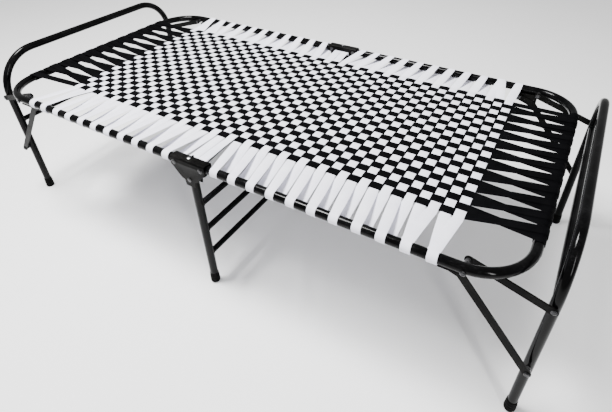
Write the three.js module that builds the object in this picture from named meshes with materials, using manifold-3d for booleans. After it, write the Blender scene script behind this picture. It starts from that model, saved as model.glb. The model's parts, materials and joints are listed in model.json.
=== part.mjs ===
// Folding cot: two U-shaped half frames joined by a centre leg trestle, with folding end loops.
// Millimetres, +Z up, floor at z = 0, length along X (head end at -X), left side at +Y.
import * as THREE from 'three';
import { mergeVertices } from 'three/addons/utils/BufferGeometryUtils.js';
import Module from 'manifold-3d';

// ---- overall sizes ----
const overallLength = 1890;      // outside of head loop to outside of foot loop
const overallWidth = 914.4;      // outside of rail to outside of rail
const railHeight = 476;          // floor to rail centre line
const loopRise = 83;             // rail centre line up to the top bar of an end loop
const tubeDiameter = 25.4;
const tubeWall = 1.6;

// ---- frame and loops ----
const frameCornerRadius = 129;   // centre line bend of a half frame corner
const loopCornerRadius = 136;    // centre line bend of an end loop corner
const frameToLoop = 63.7;        // end rail centre line to loop centre line
const foldPivotX = 47;           // hinge rivet, each side of the middle
const crossbarDiameter = 19;
const crossbarWall = 1.4;
const centreBarDrops = [149, 249, 349];   // rail centre line down to each trestle crossbar

// ---- end leg linkage ----
const linkWidth = 19;
const linkThickness = 4;
const upperPivotBack = 120;      // end rail centre line back to the upper link pivot
const upperPivotDrop = 3;
const lowerLegDrop = 272;        // rail centre line down to the lower leg bolt
const headBarDrop = 160;          // rail centre line down to the head loop's crossbar
const foldedDrop = 30;           // folded loop lies this far under the rail plane
const lowerPivotFit = 13.3;      // rail underside down to the lower link pivot
const kneeAlong = 50;            // bend of the lower link, along the rail from its pivot
const kneeDrop = 17;             // bend of the lower link, below its pivot
const linkBracketLength = 66;
const linkBracketInboard = 9;    // bracket end beyond the lower pivot, towards the middle

// ---- hinge bracket ----
const hingeEnd = 13;             // hinge rivet to the end of the bracket
const hingePlate = 2.5;
const hingeFold = 4;             // inner fold radius of the channel
const hingeTaperDrop = 55;       // rail centre line down to the end of the taper
const hingeDrop = 69;            // rail centre line down to the bracket's lower end
const hingeCheekFit = 0.7;       // rail underside up to the edge of the full-length cheek
const hingeNeckFit = 2.8;        // leg tube to the edge of the bracket's neck
const legBoltDrop = 46;
const legTop = 6;                // leg tube end above the rail centre line, inside the bracket

// ---- feet ----
const capLength = 40;
const capWall = 3;
const capBase = 5;
const capRings = 3;
const capRingRise = 0.9;

// ---- fasteners ----
const boltRadius = 4;
const boltHeadRadius = 7;
const boltHeadHeight = 3.4;
const boltInset = 3;             // upper leg bolt's tip to the leg centre line
const rivetRadius = 4;
const rivetHeadRadius = 7.5;
const rivetHeadHeight = 3;

// ---- webbing ----
const webbingThickness = 2;
const webbingSplit = 0.8;        // daylight between the white layer and the black layer
const wovenEndMargin = 172;      // white straps stop this far short of the end rail centre line
const wovenSideMargin = 117.5;   // black straps stop this far short of the side rail centre line
const foldDaylight = 3;          // webbing edge to fold line
const railDaylight = 1.5;        // black webbing edge to the end rail tube
const sideDaylight = 7;          // white webbing edge to a side rail tube, clear of the rivet heads

// ---- fits ----
const gap = 0.3;                 // between touching pieces
const boltFit = 0.3;             // radial, bolt in its hole
const bendFit = 2.1;             // bolt collar to a rail that is starting to bend
const linkFit = 2.8;             // leg tube to upper link face
const linkPlaneGap = 7.5;        // upper link face to lower link face
const linkBracketFit = 1.1;      // lower link face to its bracket
const railBracketFit = 0.7;      // bracket to the inside of the rail
const hingeFit = 0.5;            // rail tube inside the hinge channel
const bendPass = 3.2;            // upper link's top edge under the rail bend it passes
const round = 20;                // facets round a tube
const bore = 10;                 // facets round a tube's bore
const bend = 8;                  // steps in a tube bend
const small = 12;                // facets round small turned pieces

// ---- sizes that follow ----
const tubeRadius = tubeDiameter / 2;
const crossbarRadius = crossbarDiameter / 2;
const railY = overallWidth / 2 - tubeRadius;
const loopX = overallLength / 2 - tubeRadius;
const endRailX = loopX - frameToLoop;
const bracketPlate = 3;
// links and bracket stand side by side between the rail and the loop leg
const loopY = railY - tubeDiameter - linkFit - linkThickness * 2 - linkPlaneGap
  - linkBracketFit - bracketPlate - railBracketFit;
const upperPivotX = endRailX - upperPivotBack;
const lowerPivotDrop = tubeRadius + lowerPivotFit;
const hingeHalfLength = foldPivotX + hingeEnd;
const hingeCheekDrop = tubeRadius - hingeCheekFit;
const hingeNeck = tubeRadius + hingeNeckFit;
const wovenHalfLength = endRailX - wovenEndMargin;
const wovenHalfWidth = railY - wovenSideMargin;
const upperLinkY = loopY + tubeRadius + linkFit;
const lowerLinkY = upperLinkY + linkThickness + linkPlaneGap;
const bracketY = lowerLinkY + linkThickness + linkBracketFit;
// the upper link slopes just enough to pass under the bend of the rail
const loopBarDrop = (() => {
  const inward = railY - upperLinkY - linkThickness / 2;
  const along = endRailX - frameCornerRadius - upperPivotX
    + Math.sqrt(frameCornerRadius ** 2 - (frameCornerRadius - inward) ** 2);
  const down = tubeRadius + bendPass - upperPivotDrop;
  const half = linkWidth / 2;
  const slope = (down * along + half * Math.sqrt(along ** 2 + down ** 2 - half ** 2))
    / (along ** 2 - half ** 2);
  return upperPivotDrop + slope * (loopX - upperPivotX);
})();
const foldedReach = Math.hypot(loopX - upperPivotX, loopBarDrop - upperPivotDrop);
const foldedLegX = upperPivotX
  - Math.sqrt(foldedReach ** 2 - (foldedDrop - upperPivotDrop) ** 2);
const foldedBoltX = foldedLegX - (lowerLegDrop - loopBarDrop);
// the lower pivot is equally far from the lower leg bolt when open and when folded flat
const lowerPivotX = (() => {
  const midX = (loopX + foldedBoltX) / 2;
  const midDrop = (lowerLegDrop + foldedDrop) / 2;
  const runX = foldedBoltX - loopX;
  const runUp = lowerLegDrop - foldedDrop;
  return midX + (lowerPivotDrop - midDrop) * runUp / runX;
})();

const gloss = { color: 0x0b0b0d, roughness: 0.22, metalness: 0.0 };
const satin = { color: 0x19191b, roughness: 0.42, metalness: 0.0 };
const zinc = { color: 0x2b2b2f, roughness: 0.38, metalness: 0.7 };
const rubber = { color: 0x121212, roughness: 0.9, metalness: 0.0 };
const whiteWeb = { color: 0xefedf6, roughness: 0.8, metalness: 0.0 };
const blackWeb = { color: 0x151517, roughness: 0.85, metalness: 0.0 };

const wasm = await Module();
wasm.setup();

function solidOf(geometry) {
  const bare = geometry.clone();
  bare.deleteAttribute('normal');
  bare.deleteAttribute('uv');
  const merged = mergeVertices(bare, 1e-4);
  return new wasm.Manifold(new wasm.Mesh({
    numProp: 3,
    vertProperties: new Float32Array(merged.attributes.position.array),
    triVerts: new Uint32Array(merged.index.array),
  }));
}

function geometryOf(solid) {
  const mesh = solid.getMesh();
  const geometry = new THREE.BufferGeometry();
  geometry.setAttribute('position', new THREE.BufferAttribute(new Float32Array(mesh.vertProperties), 3));
  geometry.setIndex(new THREE.BufferAttribute(new Uint32Array(mesh.triVerts), 1));
  geometry.computeVertexNormals();
  return geometry;
}

function named(name, geometry, look, x = 0, y = 0, z = 0) {
  const mesh = new THREE.Mesh(geometry, new THREE.MeshStandardMaterial(look));
  mesh.name = name;
  mesh.position.set(x, y, z);
  return mesh;
}

function circle(radius, count) {
  const points = [];
  for (let i = 0; i < count; i += 1) {
    const angle = (i + 0.5) / count * Math.PI * 2;
    points.push(new THREE.Vector2(radius * Math.cos(angle), radius * Math.sin(angle)));
  }
  return points;
}

// a curve walked station by station, so that long straight runs need no steps
class StationPath extends THREE.Curve {
  constructor(stations) {
    super();
    this.stations = stations;
  }

  pick(u) {
    const last = this.stations.length - 1;
    return this.stations[Math.min(last, Math.max(0, Math.round(u * last)))];
  }

  getPointAt(u, target = new THREE.Vector3()) {
    return target.copy(this.pick(u).point);
  }

  getTangentAt(u, target = new THREE.Vector3()) {
    return target.copy(this.pick(u).tangent);
  }
}

// a tube, or a solid rod where no wall is given
function sweep(stations, radius, wall = 0) {
  const section = new THREE.Shape(circle(radius, round));
  if (wall > 0) section.holes.push(new THREE.Path(circle(radius - wall, bore)));
  return new THREE.ExtrudeGeometry(section, {
    steps: stations.length - 1,
    extrudePath: new StationPath(stations),
  });
}

// a flat U in a plane with axes a and b: legs run along b, the crown lies at b = reach
function bentU(halfWidth, reach, start, radius, place) {
  const stations = [];
  const add = (a, b, ta, tb) => stations.push({ point: place(a, b), tangent: place(ta, tb, true) });
  add(-halfWidth, start, 0, 1);
  for (let i = 0; i <= bend; i += 1) {
    const angle = i / bend * Math.PI / 2;
    add(-halfWidth + radius * (1 - Math.cos(angle)), reach - radius * (1 - Math.sin(angle)),
      Math.sin(angle), Math.cos(angle));
  }
  for (let i = 0; i <= bend; i += 1) {
    const angle = i / bend * Math.PI / 2;
    add(halfWidth - radius * (1 - Math.sin(angle)), reach - radius * (1 - Math.cos(angle)),
      Math.cos(angle), -Math.sin(angle));
  }
  add(halfWidth, start, 0, -1);
  return stations;
}

function pinAlongY(radius, length, x, y, z, count = small) {
  const pin = new THREE.CylinderGeometry(radius, radius, length, count);
  pin.translate(x, y, z);
  return pin;
}

// rail end domed about the hinge rivet, so that it can turn inside the bracket
function roundedEndCutter(end, side) {
  const block = new THREE.BoxGeometry(tubeRadius * 2, tubeRadius * 3, tubeRadius * 3);
  block.translate(end * (foldPivotX - tubeRadius), side * railY, 0);
  const dome = new THREE.SphereGeometry(tubeRadius, 32, 20);
  dome.translate(end * foldPivotX, side * railY, 0);
  return solidOf(block).subtract(solidOf(dome));
}

function halfFrame(end) {
  const place = (a, b) => new THREE.Vector3(end * b, a, 0);
  const start = foldPivotX - tubeRadius - gap;
  let solid = solidOf(sweep(bentU(railY, endRailX, start, frameCornerRadius, place), tubeRadius, tubeWall));
  for (const side of [-1, 1]) {
    solid = solid.subtract(roundedEndCutter(end, side));
    solid = solid.subtract(solidOf(pinAlongY(rivetRadius + boltFit, tubeDiameter * 2,
      end * foldPivotX, side * railY, 0)));
    solid = solid.subtract(solidOf(pinAlongY(boltRadius + boltFit, tubeDiameter * 2,
      end * upperPivotX, side * railY, -upperPivotDrop)));
  }
  return geometryOf(solid);
}

function loopStations() {
  const place = (a, b) => new THREE.Vector3(0, a, b);
  return bentU(loopY, loopRise, -railHeight + capBase + gap, loopCornerRadius, place);
}

function endLoop(end) {
  let solid = solidOf(sweep(loopStations(), tubeRadius, tubeWall));
  for (const side of [-1, 1]) {
    // the upper bolt goes through the outer wall only
    solid = solid.subtract(solidOf(pinAlongY(boltRadius + boltFit, tubeDiameter,
      0, side * (loopY + tubeRadius), -loopBarDrop)));
  }
  const geometry = geometryOf(solid);
  geometry.translate(end * loopX, 0, 0);
  return geometry;
}

// upright posts that a crossbar is coped against, with the fit added
function trestlePosts() {
  const posts = [-1, 1].map((side) => {
    const post = new THREE.CylinderGeometry(tubeRadius + gap, tubeRadius + gap, railHeight * 2, 32);
    post.rotateX(Math.PI / 2);
    post.translate(0, side * railY, 0);
    return solidOf(post);
  });
  return posts[0].add(posts[1]);
}

// a straight crossbar coped to sit against the tubes at its ends
function crossbar(halfSpan, x, z, posts) {
  const stations = [-1, 1].map((s) => ({
    point: new THREE.Vector3(0, s * halfSpan, 0), tangent: new THREE.Vector3(0, 1, 0),
  }));
  const bar = solidOf(sweep(stations, crossbarRadius, crossbarWall)).translate([0, 0, z]);
  const pieces = bar.subtract(posts).decompose().sort((p, q) => q.volume() - p.volume());
  const geometry = geometryOf(pieces[0]);
  geometry.translate(x, 0, 0);
  return geometry;
}

function centreLeg(side) {
  const stations = [legTop, -railHeight + capBase + gap].map((z) => ({
    point: new THREE.Vector3(0, side * railY, z), tangent: new THREE.Vector3(0, 0, -1),
  }));
  const solid = solidOf(sweep(stations, tubeRadius, tubeWall));
  return geometryOf(solid.subtract(solidOf(pinAlongY(boltRadius + boltFit, tubeDiameter * 2,
    0, side * railY, -legBoltDrop))));
}

// ringed rubber ferrule, open at the top
function footCap() {
  const inner = tubeRadius + gap;
  const outer = inner + capWall;
  const profile = [new THREE.Vector2(0, 0), new THREE.Vector2(outer - 1, 0), new THREE.Vector2(outer, 1)];
  const pitch = (capLength - 8) / (capRings * 2);
  for (let i = 0; i < capRings; i += 1) {
    const z = 4 + i * pitch * 2;
    profile.push(new THREE.Vector2(outer, z), new THREE.Vector2(outer + capRingRise, z + pitch * 0.5),
      new THREE.Vector2(outer, z + pitch));
  }
  profile.push(new THREE.Vector2(outer - 0.4, capLength), new THREE.Vector2(inner, capLength),
    new THREE.Vector2(inner, capBase), new THREE.Vector2(0, capBase));
  const geometry = new THREE.LatheGeometry(profile, round);
  geometry.rotateX(Math.PI / 2);
  return geometry;
}

// a plate whose outline is drawn in x and z, standing between two y values
function plate(outline, yLow, yHigh) {
  const geometry = new THREE.ExtrudeGeometry(new THREE.Shape(outline), {
    depth: yHigh - yLow, bevelEnabled: false,
  });
  geometry.rotateX(Math.PI / 2);
  geometry.translate(0, yHigh, 0);
  return geometry;
}

function slot(ax, az, bx, bz, radius) {
  const points = [];
  const heading = Math.atan2(bz - az, bx - ax);
  for (let i = 0; i <= small / 2; i += 1) {
    const angle = heading - Math.PI / 2 + i / (small / 2) * Math.PI;
    points.push(new THREE.Vector2(bx + radius * Math.cos(angle), bz + radius * Math.sin(angle)));
  }
  for (let i = 0; i <= small / 2; i += 1) {
    const angle = heading + Math.PI / 2 + i / (small / 2) * Math.PI;
    points.push(new THREE.Vector2(ax + radius * Math.cos(angle), az + radius * Math.sin(angle)));
  }
  return points;
}

// flat bar through two or three points, rounded ends, a hole at each end
function flatBar(points, side, yInner) {
  const yLow = side > 0 ? yInner : -yInner - linkThickness;
  let solid = null;
  for (let i = 0; i + 1 < points.length; i += 1) {
    const run = solidOf(plate(slot(...points[i], ...points[i + 1], linkWidth / 2), yLow, yLow + linkThickness));
    solid = solid ? solid.add(run) : run;
  }
  for (const [x, z] of [points[0], points[points.length - 1]]) {
    solid = solid.subtract(solidOf(pinAlongY(boltRadius + boltFit, linkThickness * 3,
      x, yLow + linkThickness / 2, z)));
  }
  return geometryOf(solid);
}

function upperLink(end, side) {
  return flatBar([[end * upperPivotX, -upperPivotDrop], [end * loopX, -loopBarDrop]], side, upperLinkY);
}

function lowerLink(end, side) {
  return flatBar([[end * lowerPivotX, -lowerPivotDrop],
    [end * (lowerPivotX + kneeAlong), -lowerPivotDrop - kneeDrop],
    [end * loopX, -lowerLegDrop]], side, lowerLinkY);
}

// angle bracket under the rail: one flange under the tube, one hanging beside the link
function linkBracket(end, side) {
  const top = -tubeRadius - gap;
  const flangeFoot = -lowerPivotDrop - linkWidth / 2 - 3;
  const outline = [[bracketY, top], [railY + 8, top], [railY + 8, top - bracketPlate],
    [bracketY + bracketPlate, top - bracketPlate], [bracketY + bracketPlate, flangeFoot],
    [bracketY, flangeFoot]];
  const shape = new THREE.Shape(outline.map(([y, z]) => new THREE.Vector2(side * y, z)));
  const geometry = new THREE.ExtrudeGeometry(shape, { depth: linkBracketLength, bevelEnabled: false });
  // shape x becomes y, shape y becomes z, depth becomes x
  geometry.applyMatrix4(new THREE.Matrix4().set(0, 0, 1, 0, 1, 0, 0, 0, 0, 1, 0, 0, 0, 0, 0, 1));
  const inboard = lowerPivotX - linkBracketInboard;
  geometry.translate(end > 0 ? inboard : -inboard - linkBracketLength, 0, 0);
  return geometryOf(solidOf(geometry).subtract(solidOf(pinAlongY(boltRadius + boltFit, bracketPlate * 4,
    end * lowerPivotX, side * bracketY, -lowerPivotDrop))));
}

// turned fastener along y: a list of [radius, from, to] steps measured outward from the centre line
function turned(steps, side) {
  const profile = [new THREE.Vector2(0, steps[0][1])];
  for (const [radius, from, to, dome] of steps) {
    if (dome === 'low') {
      profile.push(new THREE.Vector2(radius * 0.62, from), new THREE.Vector2(radius, from + (to - from) * 0.55));
    } else {
      profile.push(new THREE.Vector2(radius, from));
    }
    if (dome === 'high') {
      profile.push(new THREE.Vector2(radius, to - (to - from) * 0.55), new THREE.Vector2(radius * 0.62, to));
    } else {
      profile.push(new THREE.Vector2(radius, to));
    }
  }
  profile.push(new THREE.Vector2(0, steps[steps.length - 1][2]));
  const geometry = new THREE.LatheGeometry(profile, small);
  if (side < 0) geometry.rotateX(Math.PI);
  return geometry;
}

// inverted channel over the rail ends, cheeks tapering down to the centre leg
function hingeBracket() {
  const inner = tubeRadius + hingeFit;
  const outer = inner + hingePlate;
  const foot = -hingeDrop;
  const arc = (radius, cy, cz, from, to) => {
    const points = [];
    for (let i = 0; i <= 4; i += 1) {
      const angle = (from + (to - from) * i / 4) * Math.PI / 180;
      points.push([cy + radius * Math.cos(angle), cz + radius * Math.sin(angle)]);
    }
    return points;
  };
  const corner = inner - hingeFold;
  const section = [[outer, foot], ...arc(hingeFold + hingePlate, corner, corner, 0, 90),
    ...arc(hingeFold + hingePlate, -corner, corner, 90, 180), [-outer, foot], [-inner, foot],
    ...arc(hingeFold, -corner, corner, 180, 90), ...arc(hingeFold, corner, corner, 90, 0), [inner, foot]];
  const channel = new THREE.ExtrudeGeometry(new THREE.Shape(section.map(([y, z]) => new THREE.Vector2(y, z))),
    { depth: hingeHalfLength * 2, bevelEnabled: false });
  channel.applyMatrix4(new THREE.Matrix4().set(0, 0, 1, 0, 1, 0, 0, 0, 0, 1, 0, 0, 0, 0, 0, 1));
  channel.translate(-hingeHalfLength, 0, 0);
  const reach = hingeHalfLength;
  const cheek = [[reach, outer + 1], [reach, -hingeCheekDrop + 8], [reach - 3, -hingeCheekDrop + 2],
    [reach - 9, -hingeCheekDrop - 3], [hingeNeck + 9, -hingeTaperDrop + 12],
    [hingeNeck + 2, -hingeTaperDrop + 3], [hingeNeck, -hingeTaperDrop - 2], [hingeNeck, foot - 1]];
  const outline = [...cheek.map(([x, z]) => new THREE.Vector2(x, z)),
    ...cheek.slice().reverse().map(([x, z]) => new THREE.Vector2(-x, z))];
  let solid = solidOf(channel).intersect(solidOf(plate(outline, -outer - 2, outer + 2)));
  for (const x of [-foldPivotX, foldPivotX]) {
    solid = solid.subtract(solidOf(pinAlongY(rivetRadius + boltFit, outer * 3, x, 0, 0)));
  }
  solid = solid.subtract(solidOf(pinAlongY(boltRadius + boltFit, outer * 3, 0, 0, -legBoltDrop)));
  return geometryOf(solid);
}

function hingePin(radius, headRadius, headHeight, side) {
  const face = tubeRadius + hingeFit + hingePlate + gap;
  return turned([[headRadius, -face - headHeight, -face, 'low'], [radius, -face, face],
    [headRadius, face, face + headHeight, 'high']], side);
}

function webbingPanel(from, to, halfWidth, top) {
  const low = Math.min(from, to);
  const high = Math.max(from, to);
  const geometry = new THREE.BoxGeometry(high - low, halfWidth * 2, webbingThickness);
  geometry.translate((low + high) / 2, 0, top - webbingThickness / 2);
  return geometry;
}

const webSideEdge = railY - tubeRadius - sideDaylight;
const group = new THREE.Group();
const frame = new THREE.Group();
frame.position.z = railHeight;
group.add(frame);
const put = (name, geometry, look, x, y, z) => frame.add(named(name, geometry, look, x, y, z));

const ends = [['head', -1], ['foot', 1]];
const sides = [['right', -1], ['left', 1]];

for (const [end, e] of ends) {
  put(`${end}_half_frame`, halfFrame(e), gloss);
  put(`${end}_loop`, endLoop(e), gloss);
  // the foot loop's crossbar lies on its link bolts, the head loop's well below them
  const barDrop = end === 'head' ? headBarDrop : loopBarDrop;
  put(`${end}_loop_crossbar`, crossbar(loopY, e * loopX, -barDrop,
    solidOf(sweep(loopStations(), tubeRadius + gap))), gloss);
  const webEdge = foldPivotX + foldDaylight;
  const endEdge = endRailX - tubeRadius - railDaylight;
  put(`${end}_white_webbing`, webbingPanel(e * webEdge, e * wovenHalfLength, webSideEdge,
    webbingSplit / 2 + webbingThickness), whiteWeb);
  put(`${end}_black_webbing`, webbingPanel(e * webEdge, e * endEdge, wovenHalfWidth,
    -webbingSplit / 2), blackWeb);
  for (const [side, s] of sides) {
    put(`${end}_${side}_upper_link`, upperLink(e, s), satin);
    put(`${end}_${side}_lower_link`, lowerLink(e, s), satin);
    put(`${end}_${side}_link_bracket`, linkBracket(e, s), satin);
    put(`${end}_${side}_foot_cap`, footCap(), rubber, e * loopX, s * loopY, -railHeight);
    const outFace = railY + tubeRadius + gap;
    put(`${end}_${side}_upper_link_bolt`, turned([
      [boltHeadRadius, upperLinkY - gap - boltHeadHeight, upperLinkY - gap, 'low'],
      [boltRadius, upperLinkY - gap, upperLinkY + linkThickness + gap],
      [boltHeadRadius, upperLinkY + linkThickness + gap, railY - tubeRadius - bendFit],
      [boltRadius, railY - tubeRadius - bendFit, outFace],
      [boltHeadRadius, outFace, outFace + boltHeadHeight, 'high']], s),
    zinc, e * upperPivotX, 0, -upperPivotDrop);
    put(`${end}_${side}_lower_link_rivet`, turned([
      [boltHeadRadius, lowerLinkY - gap - 2.4, lowerLinkY - gap, 'low'],
      [boltRadius, lowerLinkY - gap, bracketY + bracketPlate + gap],
      [boltHeadRadius, bracketY + bracketPlate + gap, bracketY + bracketPlate + gap + 3, 'high']], s),
    zinc, e * lowerPivotX, 0, -lowerPivotDrop);
    put(`${end}_${side}_upper_leg_bolt`, turned([
      [boltRadius, loopY + boltInset, upperLinkY + linkThickness + gap],
      [boltHeadRadius, upperLinkY + linkThickness + gap,
        upperLinkY + linkThickness + gap + 2.4, 'high']], s),
    zinc, e * loopX, 0, -loopBarDrop);
    put(`${end}_${side}_lower_leg_bolt`, turned([
      [boltHeadRadius, loopY + tubeRadius + gap, lowerLinkY - gap],
      [boltRadius, lowerLinkY - gap, lowerLinkY + linkThickness + gap],
      [boltHeadRadius, lowerLinkY + linkThickness + gap,
        lowerLinkY + linkThickness + gap + boltHeadHeight, 'high']], s),
    zinc, e * loopX, 0, -lowerLegDrop);
    put(`${end}_${side}_hinge_rivet`, hingePin(rivetRadius, rivetHeadRadius, rivetHeadHeight, s),
      zinc, e * foldPivotX, s * railY, 0);
  }
}

for (const [side, s] of sides) {
  put(`${side}_hinge_bracket`, hingeBracket(), satin, 0, s * railY, 0);
  put(`${side}_centre_leg`, centreLeg(s), gloss);
  put(`${side}_centre_leg_bolt`, hingePin(boltRadius, boltHeadRadius, boltHeadHeight, s),
    zinc, 0, s * railY, -legBoltDrop);
  put(`${side}_centre_foot_cap`, footCap(), rubber, 0, s * railY, -railHeight);
}
centreBarDrops.forEach((drop, i) => {
  put(`centre_crossbar_${i + 1}`, crossbar(railY, 0, -drop, trestlePosts()), gloss);
});
put('centre_white_webbing', webbingPanel(-foldPivotX + foldDaylight, foldPivotX - foldDaylight,
  webSideEdge, webbingSplit / 2 + webbingThickness), whiteWeb);
put('centre_black_webbing', webbingPanel(-foldPivotX + foldDaylight, foldPivotX - foldDaylight,
  wovenHalfWidth, -webbingSplit / 2), blackWeb);

export default group;
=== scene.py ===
import json
import math
import bpy
import numpy as np
from mathutils import Matrix, Vector


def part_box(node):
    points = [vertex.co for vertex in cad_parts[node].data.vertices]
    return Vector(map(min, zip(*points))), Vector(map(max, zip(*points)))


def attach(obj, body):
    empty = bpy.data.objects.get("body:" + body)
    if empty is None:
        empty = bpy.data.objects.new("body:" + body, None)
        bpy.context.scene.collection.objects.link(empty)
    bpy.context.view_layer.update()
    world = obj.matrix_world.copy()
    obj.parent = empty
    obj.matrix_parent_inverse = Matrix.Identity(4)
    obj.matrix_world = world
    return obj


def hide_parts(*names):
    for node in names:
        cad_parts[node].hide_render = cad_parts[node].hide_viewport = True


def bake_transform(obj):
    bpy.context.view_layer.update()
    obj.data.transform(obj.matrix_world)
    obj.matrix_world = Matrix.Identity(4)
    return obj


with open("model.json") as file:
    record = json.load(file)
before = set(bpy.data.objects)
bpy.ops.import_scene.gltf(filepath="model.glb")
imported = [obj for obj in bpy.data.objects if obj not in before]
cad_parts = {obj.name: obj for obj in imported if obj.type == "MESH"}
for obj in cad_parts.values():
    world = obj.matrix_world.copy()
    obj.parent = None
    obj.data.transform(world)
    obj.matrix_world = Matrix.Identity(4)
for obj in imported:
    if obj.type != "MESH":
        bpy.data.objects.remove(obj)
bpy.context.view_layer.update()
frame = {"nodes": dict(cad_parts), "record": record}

print("frame loaded")

ends = (("head", -1), ("foot", 1))
sides = (("right", -1), ("left", 1))

# measures of the CAD frame that the pieces below are built around
railLow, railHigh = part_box("foot_half_frame")
loopLow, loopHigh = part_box("foot_loop")
rivetLow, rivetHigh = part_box("foot_left_hinge_rivet")
barLow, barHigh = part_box("centre_crossbar_1")
tubeRadius = (railHigh.z - railLow.z) / 2
railZ = (railHigh.z + railLow.z) / 2
railY = railHigh.y - tubeRadius
endRailX = railHigh.x - tubeRadius
loopX = (loopLow.x + loopHigh.x) / 2
loopY = loopHigh.y - tubeRadius
loopTop = loopHigh.z - tubeRadius
pivotX = (rivetLow.x + rivetHigh.x) / 2
barRadius = (barHigh.x - barLow.x) / 2


def newGroup(name, inputs, outputs):
    group = bpy.data.node_groups.new(name, "ShaderNodeTree")
    for label, kind, value in inputs:
        socket = group.interface.new_socket(name=label, in_out="INPUT", socket_type=kind)
        if value is not None:
            socket.default_value = value
    for label, kind in outputs:
        group.interface.new_socket(name=label, in_out="OUTPUT", socket_type=kind)
    return group, group.nodes.new("NodeGroupInput"), group.nodes.new("NodeGroupOutput")


def mathNode(tree, operation, *values):
    node = tree.nodes.new("ShaderNodeMath")
    node.operation = operation
    for i, value in enumerate(values):
        if isinstance(value, (int, float)):
            node.inputs[i].default_value = value
        else:
            tree.links.new(value, node.inputs[i])
    return node.outputs[0]


def rampNode(tree, source, stops):
    node = tree.nodes.new("ShaderNodeValToRGB")
    ramp = node.color_ramp
    while len(ramp.elements) < len(stops):
        ramp.elements.new(0.5)
    for element, (place, colour) in zip(ramp.elements, stops):
        element.position = place
        element.color = (*colour, 1)
    tree.links.new(source, node.inputs["Fac"])
    return node.outputs["Color"]


def noiseNode(tree, vector, scale, detail=3.0, roughness=0.5):
    node = tree.nodes.new("ShaderNodeTexNoise")
    tree.links.new(vector, node.inputs["Vector"])
    if isinstance(scale, (int, float)):
        node.inputs["Scale"].default_value = scale
    else:
        tree.links.new(scale, node.inputs["Scale"])
    node.inputs["Detail"].default_value = detail
    node.inputs["Roughness"].default_value = roughness
    return node.outputs["Fac"]


wearPattern = {
    "patchScale": 14.0,
    "scratchScale": 3.0,
    "scratchStretch": (40, 160, 160),
    "threshold": 0.24,       # patch times scratch above this shows as a scuff
    "contrast": 7.0,
}


def makeWearGroup():
    # handling scuffs, dust and the fine ripple of sprayed paint or moulded rubber
    group, source, result = newGroup("surfaceWear", [
        ("Vector", "NodeSocketVector", None), ("Base", "NodeSocketColor", (0.01, 0.01, 0.01, 1)),
        ("Scuff", "NodeSocketColor", (0.05, 0.05, 0.05, 1)), ("Scuff Amount", "NodeSocketFloat", 0.3),
        ("Ripple Scale", "NodeSocketFloat", 900.0), ("Roughness Low", "NodeSocketFloat", 0.15),
        ("Roughness High", "NodeSocketFloat", 0.4)],
        [("Color", "NodeSocketColor"), ("Roughness", "NodeSocketFloat"), ("Height", "NodeSocketFloat")])
    broad = noiseNode(group, source.outputs["Vector"], wearPattern["patchScale"], 4.0, 0.6)
    stretch = group.nodes.new("ShaderNodeMapping")
    stretch.inputs["Scale"].default_value = wearPattern["scratchStretch"]
    group.links.new(source.outputs["Vector"], stretch.inputs["Vector"])
    scratch = noiseNode(group, stretch.outputs["Vector"], wearPattern["scratchScale"], 5.0, 0.7)
    mask = mathNode(group, "MULTIPLY", broad, scratch)
    mask = mathNode(group, "SUBTRACT", mask, wearPattern["threshold"])
    mask = mathNode(group, "MULTIPLY", mask, wearPattern["contrast"])
    clamp = group.nodes.new("ShaderNodeClamp")
    group.links.new(mask, clamp.inputs["Value"])
    worn = mathNode(group, "MULTIPLY", clamp.outputs[0], source.outputs["Scuff Amount"])
    mix = group.nodes.new("ShaderNodeMix")
    mix.data_type = "RGBA"
    group.links.new(worn, mix.inputs["Factor"])
    group.links.new(source.outputs["Base"], mix.inputs["A"])
    group.links.new(source.outputs["Scuff"], mix.inputs["B"])
    group.links.new(mix.outputs["Result"], result.inputs["Color"])
    span = mathNode(group, "SUBTRACT", source.outputs["Roughness High"], source.outputs["Roughness Low"])
    lift = mathNode(group, "MULTIPLY", span, clamp.outputs[0])
    roughness = mathNode(group, "ADD", source.outputs["Roughness Low"], lift)
    group.links.new(roughness, result.inputs["Roughness"])
    ripple = noiseNode(group, source.outputs["Vector"], source.outputs["Ripple Scale"], 2.0, 0.5)
    group.links.new(ripple, result.inputs["Height"])
    return group


clothPattern = {
    "selvedge": 0.42,        # beyond this share of the width the edge is thicker
    "ribHeight": 0.35,
    "fibreScale": 260.0,
    "fibreShade": 0.5,
    "patchScale": 22.0,
    "patchShade": 1.5,
    "ribShade": 0.10,
}


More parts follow.
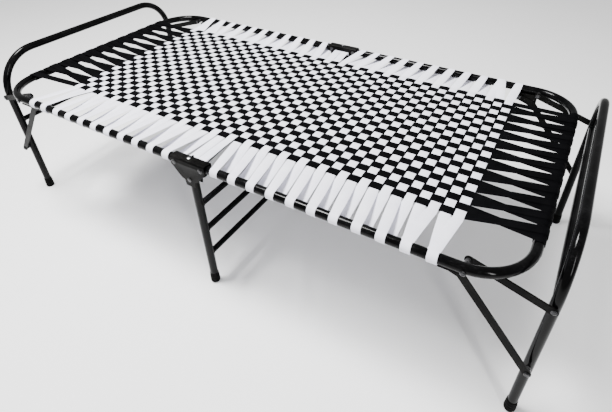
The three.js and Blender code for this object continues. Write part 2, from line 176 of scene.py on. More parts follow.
def makeWeaveGroup():
    # ribbed webbing: u runs along the strap and v across it, both in metres
    group, source, result = newGroup("webbingWeave", [
        ("Strap Map", "NodeSocketVector", None), ("Object", "NodeSocketVector", None),
        ("Rib", "NodeSocketFloat", 0.0016), ("Warp", "NodeSocketFloat", 0.0012),
        ("Width", "NodeSocketFloat", 0.028), ("Light", "NodeSocketColor", (0.9, 0.9, 0.9, 1)),
        ("Dark", "NodeSocketColor", (0.7, 0.7, 0.7, 1))],
        [("Color", "NodeSocketColor"), ("Roughness", "NodeSocketFloat"), ("Height", "NodeSocketFloat")])
    split = group.nodes.new("ShaderNodeSeparateXYZ")
    group.links.new(source.outputs["Strap Map"], split.inputs[0])
    along = mathNode(group, "DIVIDE", split.outputs["X"], source.outputs["Rib"])
    across = mathNode(group, "DIVIDE", split.outputs["Y"], source.outputs["Warp"])
    ribs = mathNode(group, "SINE", mathNode(group, "MULTIPLY", along, math.tau))
    warps = mathNode(group, "SINE", mathNode(group, "MULTIPLY", across, math.tau))
    cloth = mathNode(group, "MULTIPLY", ribs, warps)
    share = mathNode(group, "DIVIDE", split.outputs["Y"], source.outputs["Width"])
    edge = mathNode(group, "ABSOLUTE", mathNode(group, "SUBTRACT", share, 0.5))
    selvedge = mathNode(group, "GREATER_THAN", edge, clothPattern["selvedge"])
    height = mathNode(group, "MULTIPLY_ADD", cloth, clothPattern["ribHeight"], 0.5)
    height = mathNode(group, "MULTIPLY_ADD", selvedge, clothPattern["ribHeight"], height)
    group.links.new(height, result.inputs["Height"])
    fibre = noiseNode(group, source.outputs["Object"], clothPattern["fibreScale"], 3.0, 0.6)
    patch = noiseNode(group, source.outputs["Object"], clothPattern["patchScale"], 3.0, 0.55)
    shade = mathNode(group, "MULTIPLY_ADD", patch, clothPattern["patchShade"], -0.35)
    fibreOff = mathNode(group, "SUBTRACT", fibre, 0.5)
    shade = mathNode(group, "MULTIPLY_ADD", fibreOff, clothPattern["fibreShade"], shade)
    shade = mathNode(group, "MULTIPLY_ADD", cloth, clothPattern["ribShade"], shade)
    clamp = group.nodes.new("ShaderNodeClamp")
    group.links.new(shade, clamp.inputs["Value"])
    mix = group.nodes.new("ShaderNodeMix")
    mix.data_type = "RGBA"
    group.links.new(clamp.outputs[0], mix.inputs["Factor"])
    group.links.new(source.outputs["Light"], mix.inputs["A"])
    group.links.new(source.outputs["Dark"], mix.inputs["B"])
    group.links.new(mix.outputs["Result"], result.inputs["Color"])
    group.links.new(mathNode(group, "MULTIPLY_ADD", fibre, 0.25, 0.55), result.inputs["Roughness"])
    return group


wearGroup = makeWearGroup()
weaveGroup = makeWeaveGroup()


finishes = {
    "glossPaint": dict(
        base=(0.0006, 0.0006, 0.0007), scuff=(0.02, 0.02, 0.021), amount=0.2, ripple=420.0,
        low=0.09, high=0.26, bump=0.03, metallic=0.0, specular=0.45, ior=1.2),
    "satinSteel": dict(
        base=(0.0012, 0.0012, 0.0012), scuff=(0.018, 0.017, 0.016), amount=0.5, ripple=900.0,
        low=0.28, high=0.5, bump=0.08, metallic=0.0, specular=0.4, ior=1.13),
    "fastener": dict(
        base=(0.03, 0.03, 0.032), scuff=(0.30, 0.30, 0.30), amount=0.3, ripple=1400.0,
        low=0.22, high=0.45, bump=0.05, metallic=0.8, specular=0.3, ior=1.3),
    "platedPin": dict(
        base=(0.80, 0.80, 0.82), scuff=(0.5, 0.5, 0.5), amount=0.5, ripple=1400.0,
        low=0.15, high=0.3, bump=0.03, metallic=1.0, specular=0.5, ior=1.5),
    "rubberFoot": dict(
        base=(0.0015, 0.0015, 0.0015), scuff=(0.012, 0.011, 0.010), amount=0.6, ripple=1800.0,
        low=0.55, high=0.85, bump=0.2, metallic=0.0, specular=0.4, ior=1.12),
}


def makeFinish(name):
    look = finishes[name]
    material = bpy.data.materials.new(name)
    material.use_nodes = True
    tree = material.node_tree
    shader = tree.nodes["Principled BSDF"]
    place = tree.nodes.new("ShaderNodeTexCoord")
    wear = tree.nodes.new("ShaderNodeGroup")
    wear.node_tree = wearGroup
    tree.links.new(place.outputs["Object"], wear.inputs["Vector"])
    wear.inputs["Base"].default_value = (*look["base"], 1)
    wear.inputs["Scuff"].default_value = (*look["scuff"], 1)
    wear.inputs["Scuff Amount"].default_value = look["amount"]
    wear.inputs["Ripple Scale"].default_value = look["ripple"]
    wear.inputs["Roughness Low"].default_value = look["low"]
    wear.inputs["Roughness High"].default_value = look["high"]
    tree.links.new(wear.outputs["Color"], shader.inputs["Base Color"])
    tree.links.new(wear.outputs["Roughness"], shader.inputs["Roughness"])
    bump = tree.nodes.new("ShaderNodeBump")
    bump.inputs["Strength"].default_value = look["bump"]
    bump.inputs["Distance"].default_value = 0.0006
    tree.links.new(wear.outputs["Height"], bump.inputs["Height"])
    tree.links.new(bump.outputs["Normal"], shader.inputs["Normal"])
    shader.inputs["Metallic"].default_value = look["metallic"]
    shader.inputs["Specular IOR Level"].default_value = look["specular"]
    shader.inputs["IOR"].default_value = look["ior"]
    return material


webbings = {
    "whiteWebbing": dict(
        light=(0.86, 0.86, 0.93), dark=(0.72, 0.72, 0.82), rib=0.0019, warp=0.0013,
        bump=0.35, sheen=0.2, width=0.0252, specular=0.25, ior=1.45),
    "blackWebbing": dict(
        light=(0.0006, 0.0006, 0.0008), dark=(0.0025, 0.0025, 0.003), rib=0.0019, warp=0.0013,
        bump=0.5, sheen=0.0, width=0.0272, specular=0.3, ior=1.1),
}


def makeWebbing(name):
    look = webbings[name]
    material = bpy.data.materials.new(name)
    material.use_nodes = True
    tree = material.node_tree
    shader = tree.nodes["Principled BSDF"]
    strapMap = tree.nodes.new("ShaderNodeUVMap")
    strapMap.uv_map = "strapMap"
    place = tree.nodes.new("ShaderNodeTexCoord")
    ribbing = tree.nodes.new("ShaderNodeGroup")
    ribbing.node_tree = weaveGroup
    tree.links.new(strapMap.outputs["UV"], ribbing.inputs["Strap Map"])
    tree.links.new(place.outputs["Object"], ribbing.inputs["Object"])
    ribbing.inputs["Rib"].default_value = look["rib"]
    ribbing.inputs["Warp"].default_value = look["warp"]
    ribbing.inputs["Width"].default_value = look["width"]
    ribbing.inputs["Light"].default_value = (*look["light"], 1)
    ribbing.inputs["Dark"].default_value = (*look["dark"], 1)
    tree.links.new(ribbing.outputs["Color"], shader.inputs["Base Color"])
    tree.links.new(ribbing.outputs["Roughness"], shader.inputs["Roughness"])
    bump = tree.nodes.new("ShaderNodeBump")
    bump.inputs["Strength"].default_value = look["bump"]
    bump.inputs["Distance"].default_value = 0.0005
    tree.links.new(ribbing.outputs["Height"], bump.inputs["Height"])
    tree.links.new(bump.outputs["Normal"], shader.inputs["Normal"])
    shader.inputs["Sheen Weight"].default_value = look["sheen"]
    shader.inputs["Sheen Roughness"].default_value = 0.5
    shader.inputs["Specular IOR Level"].default_value = look["specular"]
    shader.inputs["IOR"].default_value = look["ior"]
    return material


materials = {name: makeFinish(name) for name in finishes}
materials.update({name: makeWebbing(name) for name in webbings})
print("materials made")


sharpAngle = math.radians(38)   # edges over this are drawn sharp


def skinRings(name, runs, material):
    # each run is an array of rings (rings, points, xyz) skinned into one closed body
    verts, faces, maps, total = [], [], [], 0
    for rings in runs:
        rings = np.asarray(rings, float)
        count, around = rings.shape[:2]
        middle = rings.mean(axis=1)
        along = np.concatenate([[0], np.cumsum(np.linalg.norm(np.diff(middle, axis=0), axis=1))])
        step = np.linalg.norm(np.roll(rings[count // 2], -1, axis=0) - rings[count // 2], axis=1)
        across = np.concatenate([[0], np.cumsum(step)])
        verts.append(rings.reshape(-1, 3))
        for i in range(count - 1):
            for k in range(around):
                n = (k + 1) % around
                faces.append((total + i * around + k, total + i * around + n,
                              total + (i + 1) * around + n, total + (i + 1) * around + k))
                maps += [(along[i], across[k]), (along[i], across[k + 1]),
                         (along[i + 1], across[k + 1]), (along[i + 1], across[k])]
        for i, order in ((0, range(around - 1, -1, -1)), (count - 1, range(around))):
            faces.append(tuple(total + i * around + k for k in order))
            maps += [(along[i], across[k]) for k in order]
        total += count * around
    mesh = bpy.data.meshes.new(name)
    mesh.from_pydata(np.concatenate(verts).tolist(), [], faces)
    layer = mesh.uv_layers.new(name="strapMap")
    layer.uv.foreach_set("vector", np.array(maps, np.float32).ravel())
    mesh.polygons.foreach_set("use_smooth", [True] * len(mesh.polygons))
    mesh.materials.append(material)
    mesh.validate()
    mesh.set_sharp_from_angle(angle=sharpAngle)
    obj = bpy.data.objects.new(name, mesh)
    bpy.context.scene.collection.objects.link(obj)
    return obj


def tubeRings(points, planeNormal, radii, sidesAround=28):
    points = np.asarray(points, float)
    tangent = np.gradient(points, axis=0)
    tangent /= np.linalg.norm(tangent, axis=1)[:, None]
    normal = np.asarray(planeNormal, float)
    side = np.cross(tangent, normal)
    side /= np.linalg.norm(side, axis=1)[:, None]
    up = np.cross(side, tangent)
    angle = np.linspace(0, math.tau, sidesAround, endpoint=False)
    radii = np.broadcast_to(np.asarray(radii, float), (len(points),))
    ring = side[:, None] * np.cos(angle)[None, :, None] + up[:, None] * np.sin(angle)[None, :, None]
    return points[:, None] + ring * radii[:, None, None]


def uPath(halfWidth, reach, start, corner, place, steps=14):
    # legs run along b from start, crown at b = reach; place turns (a, b) into a point
    arc = np.linspace(0, math.pi / 2, steps)
    left = [(-halfWidth, start)]
    left += [(-halfWidth + corner * (1 - math.cos(t)), reach - corner * (1 - math.sin(t))) for t in arc]
    right = [(-a, b) for a, b in reversed(left)]
    return [place(a, b) for a, b in left + right]


def spaced(points, longest=0.04):
    # extra points along long straight stretches, so that the gradient stays true at their ends
    result = [np.asarray(points[0], float)]
    for p, q in zip(points, points[1:]):
        p, q = np.asarray(p, float), np.asarray(q, float)
        count = max(1, math.ceil(np.linalg.norm(q - p) / longest))
        result += [p + (q - p) * i / count for i in range(1, count + 1)]
    return np.array(result)


def latheRings(profile, centre, direction, sidesAround=32):
    # profile is a list of (radius, distance along the axis)
    axis = np.asarray(direction, float)
    other = np.array([1.0, 0, 0]) if abs(axis[0]) < 0.5 else np.array([0, 1.0, 0])
    side = np.cross(axis, other)
    up = np.cross(side, axis)
    angle = np.linspace(0, math.tau, sidesAround, endpoint=False)
    ring = side[None] * np.cos(angle)[:, None] + up[None] * np.sin(angle)[:, None]
    return np.array([np.asarray(centre) + axis * d + ring * max(r, 1e-5) for r, d in profile])


def stand(obj, body, slotName, *nodes):
    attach(obj, body)
    if nodes:
        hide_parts(*nodes)
    return obj


tubing = {
    "frameCorner": 0.129,   # centre line bend of a half frame
    "loopCorner": 0.136,    # centre line bend of an end loop
    "aroundTube": 32,
    "weldBead": 0.0017,
}


def domeEnds(points, radius):
    # radii that round off both ends of a rail inside its bracket
    steps = np.linspace(0, math.pi / 2, 7)
    start = points[0]
    lead = (points[1] - points[0]) / np.linalg.norm(points[1] - points[0])
    tail = (points[-2] - points[-1]) / np.linalg.norm(points[-2] - points[-1])
    first = [start - lead * radius * math.cos(t) for t in steps[:-1]]
    last = [points[-1] - tail * radius * math.cos(t) for t in reversed(steps[:-1])]
    radii = [max(radius * math.sin(t), 2e-4) for t in steps[:-1]]
    return (np.concatenate([first, points, last]),
            np.concatenate([radii, np.full(len(points), radius), radii[::-1]]))


def makeTubes():
    for end, e in ends:
        path = spaced(uPath(railY, endRailX, pivotX, tubing["frameCorner"],
                            lambda a, b: (e * b, a, railZ)))
        points, radii = domeEnds(path, tubeRadius)
        rings = tubeRings(points, (0, 0, 1), radii, tubing["aroundTube"])
        rail = skinRings(f"{end}RailTube", [rings], materials["glossPaint"])
        stand(rail, f"{end}_half", "tube", f"{end}_half_frame")
        path = spaced(uPath(loopY, loopTop, loopLow.z, tubing["loopCorner"],
                            lambda a, b: (e * loopX, a, b)))
        rings = tubeRings(path, (1, 0, 0), tubeRadius, tubing["aroundTube"])
        loop = skinRings(f"{end}LoopTube", [rings], materials["glossPaint"])
        stand(loop, f"{end}_leg", "tube", f"{end}_loop")
        low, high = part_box(f"{end}_loop_crossbar")
        makeBar(f"{end}LoopCrossbar", e * loopX, (low.z + high.z) / 2, loopY, f"{end}_leg",
                f"{end}_loop_crossbar")
    for side, s in sides:
        low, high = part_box(f"{side}_centre_leg")
        path = spaced([(0, s * railY, high.z), (0, s * railY, low.z)])
        rings = tubeRings(path, (1, 0, 0), tubeRadius, tubing["aroundTube"])
        leg = skinRings(f"{side}CentreLeg", [rings], materials["glossPaint"])
        stand(leg, "centre_trestle", "tube", f"{side}_centre_leg")
    for i in (1, 2, 3):
        low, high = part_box(f"centre_crossbar_{i}")
        makeBar(f"centreCrossbar{i}", 0, (low.z + high.z) / 2, railY, "centre_trestle",
                f"centre_crossbar_{i}")


def makeBar(name, x, z, halfSpan, body, node):
    # the bar runs into the wall of the leg at each end and has a weld bead round it
    reach = halfSpan - tubeRadius * 0.75
    path = spaced([(x, -reach, z), (x, reach, z)])
    runs = [tubeRings(path, (1, 0, 0), barRadius, 24)]
    angle = np.linspace(0, math.tau, 33)
    toe = barRadius * 1.02
    saddle = np.sqrt(tubeRadius ** 2 - (barRadius * np.cos(angle)) ** 2)
    wobble = 1 + 0.06 * np.sin(angle * 9)
    for s in (-1, 1):
        along = s * (halfSpan - saddle - 0.0004)
        bead = np.stack([x + toe * np.cos(angle), along, z + toe * np.sin(angle)], axis=1)
        runs.append(beadRings(bead, (x, s * halfSpan, z), tubing["weldBead"] * wobble))
    bar = skinRings(name, runs, materials["glossPaint"])
    stand(bar, body, "tube", node)


def beadRings(points, centre, radii, sidesAround=8):
    # a ring of weld that closes on itself round the centre
    tangent = np.gradient(points, axis=0)
    tangent[0] = tangent[-1] = points[1] - points[-2]
    tangent /= np.linalg.norm(tangent, axis=1)[:, None]
    out = points - np.asarray(centre)
    out -= tangent * (out * tangent).sum(axis=1)[:, None]
    out /= np.linalg.norm(out, axis=1)[:, None]
    side = np.cross(tangent, out)
    angle = np.linspace(0, math.tau, sidesAround, endpoint=False)
    ring = out[:, None] * np.cos(angle)[None, :, None] + side[:, None] * np.sin(angle)[None, :, None]
    return points[:, None] + ring * radii[:, None, None]


makeTubes()
print("tubes made")


ferrule = {
    "rings": 3,
    "ringRise": 0.0007,
    "lipRadius": 0.0006,
    "wall": 0.0016,      # rubber outside the tube at the mouth
    "flare": 0.0008,     # further outwards at the floor
    "ringsClear": 0.006, # floor to the first ring, and the last ring to the mouth
    "bore": 0.0002,      # rubber to the tube's paint
}


def makeFeet():
    caps = [(f"{end}_{side}_foot_cap", f"{end}_leg") for end, e in ends for side, s in sides]
    caps += [(f"{side}_centre_foot_cap", "centre_trestle") for side, s in sides]
    for node, body in caps:
        low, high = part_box(node)
        mouth = tubeRadius + ferrule["wall"]
        height = high.z - low.z
        base = mouth + ferrule["flare"]
        profile = [(1e-5, 0.0), (base * 0.5, 0.0), (base * 0.8, 0.0003), (base * 0.93, 0.0016),
                   (base * 0.985, 0.0038)]
        clear = ferrule["ringsClear"]
        pitch = (height - 2 * clear) / (ferrule["rings"] * 2)
        for i in range(ferrule["rings"]):
            foot = clear + i * pitch * 2
            for t in np.linspace(0, math.pi, 7):
                rise = foot + pitch * t / math.pi
                wide = mouth + ferrule["flare"] * (1 - rise / height)
                profile.append((wide + ferrule["ringRise"] * math.sin(t), rise))
        lip = ferrule["lipRadius"]
        bore = tubeRadius + ferrule["bore"]
        profile += [(mouth, height - 0.004), (mouth - 0.0002, height - lip), (mouth - lip, height),
                    (bore + 0.0004, height), (bore, height - 0.001), (bore, height - 0.004)]
        centre = ((low.x + high.x) / 2, (low.y + high.y) / 2, low.z)
        cap = skinRings(node.title().replace("_", ""), [latheRings(profile, centre, (0, 0, 1))],
                        materials["rubberFoot"])
        stand(cap, body, "rubber_foot", node)


makeFeet()
print("feet made")


weave = {
    "lanes": 45,             # white straps, crosswise
    "rows": 23,              # black straps, lengthwise
    "lanePitch": 0.03103,
    "laneShift": 0.01469,    # lane 22.5 sits this far towards the foot end
    "laneSkew": 0.00867,     # a lane's middle to its last row, drifting towards the head end
    "rowPitch": 0.02751,
    "rowShift": 0.02349,     # the cloth lies nearer the left rail
    "whiteWidth": 0.0252,    # in the weave
    "runWidth": 0.0290,      # white strap on its way to the rail
    "blackWidth": 0.0272,
    "thickness": 0.0013,
    "flank": 0.955,          # flat share of a strap's width
    "stacked": 1.15,         # a strap over another one lies this many thicknesses higher
    "wrapClear": 0.0003,     # strap to the tube's paint
    "tailTurn": 150,         # degrees that a tucked strap goes on round the rail
    "lift": 0.0011,          # a strap's centre line above or under the cloth plane at a crossing
    "flatness": 2.4,         # how squarely a strap steps from over to under
    "plane": -0.0068,        # cloth plane under the rail centre line at its edge
    "sag": 0.0026,           # further drop at the middle
    "sagReachX": 0.7,        # the sag dies out this far from the middle, lengthwise
    "sagReachY": 0.34,       # and crosswise
    "sideTurns": 11,         # white turns on each half of a side rail
    "hingeLane": 21,         # this lane and the next meet the right hinge bracket
    "wrapPitch": 0.05924,    # white turns on a side rail
    "firstWrap": 0.08587,    # middle of the cot to the first white turn
    "endWrapPitch": 0.0530,  # black turns on an end rail
    "footWrapStart": -0.279,
    "headWrapStart": -0.3055,
    "endWrapSpread": 0.0132, # a black strap lands this far each side of its turn's middle
    "crossingRise": 1.4,     # a tucked black strap lifts this many thicknesses to cross its pair
    "turnWidth": 0.0238,     # white strap drawn narrower round the rail
    "turnDrift": 0.003,      # a turn creeps this far along the rail on its way round
    "turnShift": 0.003,      # the turns lie this far towards the foot end
    "underShift": 0.013,     # and a strap from under the rail leaves this much further along
    "tuckedFrom": 9,         # turns from here to the end have both their straps over the rail
    "blackStripWidth": 0.0034,      # thin black strip beside the near hinge and at the head
    "blackStripRise": 0.003,
    "headBlackStripX": -0.600,      # where the head's black strip leaves the rail
    "samples": 5,            # points per crossing
}


tuckIn = {
    "reach": 0.034,     # the straps at a hinge land this far from its middle at most
    "pitch": 0.030,
    "clear": 0.0006,    # strap to the bracket's face
    "bend": 0.004,
    "drop": 0.001,      # rail centre line down to the start of the bend
    "tail": 0.012,      # and down to the strap's end
}


def smoothSquare(value):
    flatness = weave["flatness"]
    return math.tanh(flatness * value) / math.tanh(flatness)


def laneX(lane, row):
    half = (weave["rows"] - 1) / 2
    return ((lane - weave["lanes"] / 2) * weave["lanePitch"] + weave["laneShift"]
            - weave["laneSkew"] * (row - 1 - half) / half)


def rowY(row):
    return (row - (weave["rows"] + 1) / 2) * weave["rowPitch"] + weave["rowShift"]


def clothZ(x, y):
    u = min(1, abs(x) / weave["sagReachX"])
    v = min(1, abs(y) / weave["sagReachY"])
    return railZ + weave["plane"] - weave["sag"] * (1 - u * u) * (1 - v * v)


def strapSection(width, thickness):
    w, t = width / 2, thickness / 2
    e, k = t * 0.35, w * weave["flank"]
    return [(-w, e), (-w, -e), (-k, -t), (0, -t), (k, -t), (w, -e), (w, e), (k, t), (0, t), (-k, t)]


def strapRings(points, across, width):
    # across is the direction of the strap's width, and width a number or one for each point
    points = np.asarray(points, float)
    across = np.tile(np.asarray(across, float), (len(points), 1))
    tangent = np.gradient(points, axis=0)
    tangent /= np.linalg.norm(tangent, axis=1)[:, None]
    normal = np.cross(tangent, across)
    normal /= np.linalg.norm(normal, axis=1)[:, None]
    widths = np.broadcast_to(width, (len(points),))
    rings = []
    for point, sideways, upwards, wide in zip(points, across, normal, widths):
        section = strapSection(wide, weave["thickness"])
        rings.append([point + sideways * w + upwards * t for w, t in section])
    return np.array(rings)


def tangentAngles(distance, height, radius):
    # angles at which straight runs from a point meet a circle: over its top, under its bottom
    bearing = math.atan2(height, distance)
    opening = math.acos(min(1, radius / math.hypot(distance, height)))
    return bearing + opening, bearing - opening


def wrapRadius(how):
    stacked = weave["thickness"] * weave["stacked"] if how == "tuck" else 0
    return tubeRadius + weave["thickness"] / 2 + weave["wrapClear"] + stacked


def railPoint(angle, radius):
    # distance inwards from the rail's centre line, and height
    return radius * math.cos(angle), railZ + radius * math.sin(angle)


def straightRun(start, stop, hump, count):
    # points after start on the way to stop, lifted by the hump in between
    start, stop = np.asarray(start, float), np.asarray(stop, float)
    run = []
    for t in np.linspace(0, 1, count)[1:]:
        x, y, z = start + (stop - start) * t
        run.append((x, y, z + hump * math.sin(math.pi * t)))
    return run


def whiteWraps():
    # lanes, side, place along the rail, and how the second lane arrives; the first comes over the rail
    wraps = []
    last = weave["lanes"] - 1
    drift = weave["turnDrift"] / 2 - weave["turnShift"]
    for s in (-1, 1):
        middle = weave["hingeLane"] + (0 if s < 0 else 1)   # first lane of the pair at the hinge
        wraps.append(((middle, middle + 1), s, None, "hinge"))
        for turn in range(weave["sideTurns"]):
            place = weave["firstWrap"] + turn * weave["wrapPitch"]
            second = "tuck" if turn >= weave["tuckedFrom"] else "under"
            step = 2 * turn + 2
            footPair = (middle + step, middle + step + 1)
            headPair = (middle - step, middle - step + 1)
            wraps.append((tuple(j for j in footPair if j <= last), s, place - drift, second))
            wraps.append((tuple(j for j in headPair if j >= 0), s, -place - drift, second))
    return wraps


def hingeLanding(lane, s):
    # a strap that meets a hinge turns down the inner face of the bracket
    bracketLow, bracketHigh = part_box("right_hinge_bracket" if s < 0 else "left_hinge_bracket")
    inner = bracketHigh.y if s < 0 else bracketLow.y
    lanesOut = lane - weave["lanes"] // 2 + (0.5 if s < 0 else -0.5)
    reach = tuckIn["reach"]
    x = max(-reach, min(reach, lanesOut * tuckIn["pitch"]))
    face = inner - s * (weave["thickness"] / 2 + tuckIn["clear"])
    bend = tuckIn["bend"]
    shoulder = []
    for t in np.linspace(0, math.pi / 2, 6):
        drop = tuckIn["drop"] + bend * (1 - math.cos(t))
        shoulder.append((x, face - s * bend * (1 - math.sin(t)), railZ - drop))
    shoulder.append((x, face, railZ - tuckIn["tail"]))
    return shoulder


def whiteRun(lane, placeNear, placeFar, near, far):
    # near and far say how the strap ends there: "over", "under", "tuck" or "hinge"
    rows = weave["rows"]
    count = rows * weave["samples"]
    points = []
    for i in range(count + 1):
        row = 0.5 + rows * i / count
        x, y = laneX(lane, row), rowY(row)
        z = clothZ(x, y) + weave["lift"] * smoothSquare(math.cos(math.pi * (row + lane + 1)))
        points.append((x, y, z))
    nearEnd, nearWidths = whiteEnd(lane, points[0], -1, placeNear, near)
    farEnd, farWidths = whiteEnd(lane, points[-1], 1, placeFar, far)
    path = np.array(nearEnd[::-1] + points + farEnd)
    widths = np.array(nearWidths[::-1] + [weave["whiteWidth"]] * len(points) + farWidths)
    return strapRings(path, (1, 0, 0), widths)


def whiteEnd(lane, edge, s, place, how):
    # points and widths from the edge of the weave to the strap's end at this side
    full, narrow = weave["runWidth"], weave["turnWidth"]
    if how == "hinge":
        landing = hingeLanding(lane, s)
        run = straightRun(edge, landing[0], 0, 10)[:-1] + landing
        return run, [full] * len(run)
    radius = wrapRadius(how)
    over, under = tangentAngles(railY - abs(edge[1]), edge[2] - railZ, radius)
    angle = under if how == "under" else over
    landX = place + (weave["underShift"] if how == "under" else 0)
    hump = weave["thickness"] if how == "tuck" else 0
    inward, landZ = railPoint(angle, radius)
    run = straightRun(edge, (landX, s * (railY - inward), landZ), hump, 12)
    widths = [full] * len(run)
    if how == "over":
        widths = [full + (narrow - full) * t ** 4 for t in np.linspace(0, 1, 12)[1:]]
    if how == "under":
        return run, widths
    # the turn goes round the outside of the rail to where the next strap leaves
    last = under + math.tau if how == "over" else angle + math.radians(weave["tailTurn"])
    for t in np.linspace(angle, last, 26)[1:]:
        inward, z = railPoint(t, radius)
        share = (t - angle) / (under + math.tau - angle)
        run.append((landX + weave["turnDrift"] * share, s * (railY - inward), z))
        widths.append(narrow)
    return run, widths


def makeWhiteStraps():
    joins = {}
    for lanes, s, place, second in whiteWraps():
        for i, lane in enumerate(lanes):
            joins[lane, s] = (place, second if i or second == "hinge" else "over")
    middle = weave["lanes"] // 2
    groups = {"headWhiteStraps": range(0, middle), "centreWhiteStrap": range(middle, middle + 1),
              "footWhiteStraps": range(middle + 1, weave["lanes"])}
    made = {}
    for name, lanes in groups.items():
        runs = []
        for lane in lanes:
            (placeNear, near), (placeFar, far) = joins[lane, -1], joins[lane, 1]
            runs.append(whiteRun(lane, placeNear, placeFar, near, far))
        made[name] = skinRings(name, runs, materials["whiteWebbing"])
    return made


def laneAt(x, row):
    return (x - laneX(0, row)) / weave["lanePitch"]


def blackRun(row, end, placeEnd, how):
    # one half of a lengthwise strap, from the middle of the cot to its turn on the end rail
    e = 1 if end == "foot" else -1
    middle = laneAt(0, row)
    last = weave["lanes"] - 0.5 if e > 0 else -0.5
    count = round(abs(last - middle) * weave["samples"])
    points = []
    for lane in np.linspace(middle, last, count):
        x, y = laneX(lane, row), rowY(row)
        z = clothZ(x, y) + weave["lift"] * smoothSquare(math.cos(math.pi * (lane + row)))
        points.append((x, y, z))
    edge = points[-1]
    radius = wrapRadius(how)
    angle, under = tangentAngles(endRailX - abs(edge[0]), edge[2] - railZ, radius)
    spread = weave["endWrapSpread"]
    land = placeEnd + (spread if how == "tuck" else -spread)
    hump = weave["thickness"] * weave["crossingRise"] if how == "tuck" else 0
    inward, landZ = railPoint(angle, radius)
    points += straightRun(edge, (e * (endRailX - inward), land, landZ), hump, 14)
    # two turns side by side round the end rail, or the tail of the strap that is tucked over them
    twice = under + math.tau * 2
    last, count = (twice, 56) if how == "over" else (angle + math.radians(weave["tailTurn"]), 14)
    for t in np.linspace(angle, last, count)[1:]:
        share = (t - angle) / (twice - angle)
        inward, z = railPoint(t, radius)
        points.append((e * (endRailX - inward), land + 2 * spread * share, z))
    return strapRings(points, (0, -1, 0), weave["blackWidth"])


def blackStripRun(lane, railX):
    # thin black strip from the top of the near rail to the first row, between two white straps
    x, y = laneX(lane, 0.5), rowY(0.5)
    top = railZ + tubeRadius + weave["blackStripWidth"] / 2 + 0.0006
    start = (railX, -railY, top)
    run = straightRun(start, (x, y, clothZ(x, y) + weave["thickness"]), weave["blackStripRise"], 16)
    return strapRings([start] + run, (1, 0, 0), weave["blackStripWidth"])


def makeBlackStraps():
    made = {}
    for end, start in (("foot", weave["footWrapStart"]), ("head", weave["headWrapStart"])):
        runs = []
        for row in range(1, weave["rows"] + 1):
            if end == "foot":
                turn, how = (row - 1) // 2, "tuck" if row % 2 else "over"
            else:
                turn, how = row // 2, "over" if row % 2 else "tuck"
            if (end, row) == ("foot", weave["rows"]):
                how = "over"   # the last strap has a turn to itself
            runs.append(blackRun(row, end, start + turn * weave["endWrapPitch"], how))
        runs.append(blackStripRun(22.5, pivotX + 0.008) if end == "foot" else blackStripRun(2.5, weave["headBlackStripX"]))
        made[end] = skinRings(f"{end}BlackStraps", runs, materials["blackWebbing"])
    return made


whiteStraps = makeWhiteStraps()
blackStraps = makeBlackStraps()
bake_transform(whiteStraps["headWhiteStraps"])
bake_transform(whiteStraps["footWhiteStraps"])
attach(whiteStraps["centreWhiteStrap"], "centre_trestle")
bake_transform(blackStraps["head"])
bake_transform(blackStraps["foot"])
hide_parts("head_white_webbing")
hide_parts("foot_white_webbing")
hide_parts("centre_white_webbing")
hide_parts("head_black_webbing")
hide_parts("foot_black_webbing", "centre_black_webbing")
print("straps woven")


hinge = {
    "plate": 0.0025,
    "inside": 0.0005,        # rail tube to the inner face
    "foldRadius": 0.004,
    "endDepth": 0.0130,      # rail centre line down to the cheek's edge at its ends
    "shoulderDepth": 0.050,  # and where it meets the neck round the leg
    "neck": 0.0158,          # half the neck's width
    "neckStep": 0.003,       # from the shoulder in to the neck
    "endRound": 0.004,
    "ridge": 0.0009,
    "domeRadius": 0.0056,
    "domeHeight": 0.0026,
    "domeX": -0.004,
    "knobRadius": 0.0034,
    "knobHeight": 0.0055,
    "knobX": 0.002,
    "knobInset": 0.002,      # outwards from the rail's inner side
}


def cheekDepth(x, half, foot):
    # lower edge of the cheeks: rounded ends, a curved shoulder, then the neck
    along = abs(x)
    if along <= hinge["neck"]:
        return foot
    step = hinge["neckStep"]
    if along <= hinge["neck"] + step:
        share = (along - hinge["neck"]) / step
        return foot + (hinge["shoulderDepth"] - foot) * share
    share = (half - step - along) / (half - 2 * step - hinge["neck"])
    if share < 0:
        return hinge["endDepth"] - hinge["endRound"] * min(1, -share * 15) ** 2
    fall = hinge["shoulderDepth"] - hinge["endDepth"]
    return hinge["endDepth"] + fall * math.sin(share * math.pi / 2) ** 1.3


def channelSection(depth, inner, outer):
    fold, plate = hinge["foldRadius"], hinge["plate"]
    corner = inner - fold
    ridge = hinge["ridge"]
    outside = [(outer, -depth), (outer, -depth * 0.5), (outer, -0.004), (outer + ridge, -0.001),
               (outer + ridge, 0.002), (outer, 0.005)]
    arc = np.linspace(0, math.pi / 2, 7)
    bend = fold + plate
    outside += [(corner + bend * math.cos(t), corner + bend * math.sin(t)) for t in arc]
    inside = [(inner, -depth), (inner, -depth * 0.5)]
    inside += [(corner + fold * math.cos(t), corner + fold * math.sin(t)) for t in arc]
    across = outside + [(-a, b) for a, b in reversed(outside)]
    return across + [(-a, b) for a, b in inside] + list(reversed(inside))


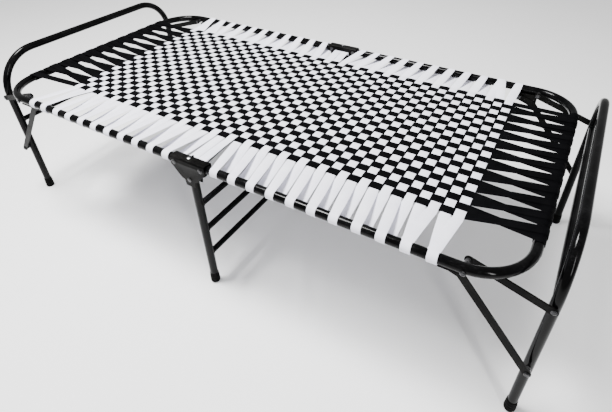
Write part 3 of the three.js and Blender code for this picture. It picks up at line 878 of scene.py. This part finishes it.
def makeHinges():
    inner = tubeRadius + hinge["inside"]
    outer = inner + hinge["plate"]
    for side, s in sides:
        low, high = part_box(f"{side}_hinge_bracket")
        half, foot = high.x, railZ - low.z
        shoulder = hinge["neck"] + hinge["neckStep"]
        marks = np.concatenate([np.linspace(-half, -shoulder, 26), [-hinge["neck"]]])
        rings = []
        for x in np.concatenate([marks, -marks[::-1]]):
            section = channelSection(cheekDepth(x, half, foot), inner, outer)
            rings.append([(x, s * (railY + a), railZ + b) for a, b in section])
        channel = skinRings(f"{side}HingeChannel", [rings], materials["satinSteel"])
        stand(channel, "centre_trestle", "flat_steel", f"{side}_hinge_bracket")
        arc = np.linspace(0, math.pi / 2, 8)
        dome = [(hinge["domeRadius"], -0.0008)]
        dome += [(hinge["domeRadius"] * math.cos(t), hinge["domeHeight"] * math.sin(t)) for t in arc]
        centre = (hinge["domeX"], s * railY, railZ + outer)
        rings = latheRings(dome, centre, (0, 0, 1), 24)
        pin = skinRings(f"{side}HingeDome", [rings], materials["platedPin"])
        stand(pin, "centre_trestle", "fastener")
        r, h = hinge["knobRadius"], hinge["knobHeight"]
        profile = [(r * 0.7, -0.001), (r * 0.7, h * 0.3), (r, h * 0.45), (r, h * 0.8), (r * 0.6, h),
                   (1e-5, h)]
        across = s * (railY - tubeRadius + hinge["knobInset"])
        rings = latheRings(profile, (hinge["knobX"], across, railZ + outer - 0.0006), (0, 0, 1), 20)
        knob = skinRings(f"{side}HingeKnob", [rings], materials["satinSteel"])
        stand(knob, "centre_trestle", "fastener")


makeHinges()
print("hinges made")


slotFinish = {"tube": "glossPaint", "flat_steel": "satinSteel", "fastener": "fastener",
              "rubber_foot": "rubberFoot"}
for part in frame["record"]["subparts"]:
    finish = slotFinish.get(part["material_slot"])
    if finish:
        obj = frame["nodes"][part["node"]]
        obj.data.materials.clear()
        obj.data.materials.append(materials[finish])
print("steel finished")


studio = {
    "floorHalf": 14.0,       # half the floor's side
    "floorColour": (0.96, 0.96, 0.96),
    "worldStrength": 0.55,
    "keyPower": 340.0,
    "fillPower": 50.0,
}


def makeFloor():
    size = studio["floorHalf"]
    mesh = bpy.data.meshes.new("floor")
    corners = [(-size, -size, 0), (size, -size, 0), (size, size, 0), (-size, size, 0)]
    mesh.from_pydata(corners, [], [(0, 1, 2, 3)])
    material = bpy.data.materials.new("paleFloor")
    material.use_nodes = True
    tree = material.node_tree
    shader = tree.nodes["Principled BSDF"]
    place = tree.nodes.new("ShaderNodeTexCoord")
    mottle = noiseNode(tree, place.outputs["Object"], 3.0, 3.0, 0.5)
    c = studio["floorColour"]
    colour = rampNode(tree, mottle, [(0.3, tuple(v * 0.985 for v in c)), (0.7, c)])
    tree.links.new(colour, shader.inputs["Base Color"])
    shader.inputs["Roughness"].default_value = 0.9
    shader.inputs["Specular IOR Level"].default_value = 0.1
    mesh.materials.append(material)
    floor = bpy.data.objects.new("floor", mesh)
    bpy.context.scene.collection.objects.link(floor)


def makeLight(name, position, target, size, power):
    data = bpy.data.lights.new(name, "AREA")
    data.shape = "RECTANGLE"
    data.size, data.size_y = size
    data.energy = power
    light = bpy.data.objects.new(name, data)
    light.location = position
    aim = Vector(target) - Vector(position)
    light.rotation_euler = aim.to_track_quat("-Z", "Y").to_euler()
    bpy.context.scene.collection.objects.link(light)


def makeWorld():
    world = bpy.data.worlds.new("studio")
    world.use_nodes = True
    background = world.node_tree.nodes["Background"]
    background.inputs["Color"].default_value = (1, 1, 1, 1)
    background.inputs["Strength"].default_value = studio["worldStrength"]
    bpy.context.scene.world = world


viewpoint = {
    "lens": 27.45, "azimuth": 29.976, "elevation": 36.338, "roll": -0.447,
    "offset": (0.8213, -1.1469, 0.7441),   # from the middle of the cot at rail height
    "shift": (-0.0296, -0.0688),
}


def makeCamera():
    az, el, roll = (math.radians(viewpoint[k]) for k in ("azimuth", "elevation", "roll"))
    back = Vector((math.sin(az) * math.cos(el), -math.cos(az) * math.cos(el), math.sin(el)))
    right = Vector((math.cos(az), math.sin(az), 0))
    up = back.cross(right)
    rolledRight = math.cos(roll) * right + math.sin(roll) * up
    rolledUp = -math.sin(roll) * right + math.cos(roll) * up
    data = bpy.data.cameras.new("camera")
    data.lens = viewpoint["lens"]
    data.sensor_width = 36
    data.shift_x, data.shift_y = viewpoint["shift"]
    data.clip_end = 60
    camera = bpy.data.objects.new("camera", data)
    turn = Matrix((rolledRight, rolledUp, back)).transposed().to_4x4()
    x, y, z = viewpoint["offset"]
    camera.matrix_world = Matrix.Translation((x, y, railZ + z)) @ turn
    bpy.context.scene.collection.objects.link(camera)
    bpy.context.scene.camera = camera


makeFloor()
makeWorld()
makeLight("key", (-0.8, -0.6, 3.4), (0, 0, 0.4), (1.0, 1.0), studio["keyPower"])
makeLight("fill", (2.6, -2.2, 1.9), (0, 0, 0.4), (0.3, 1.6), studio["fillPower"])
makeCamera()
print("studio ready")
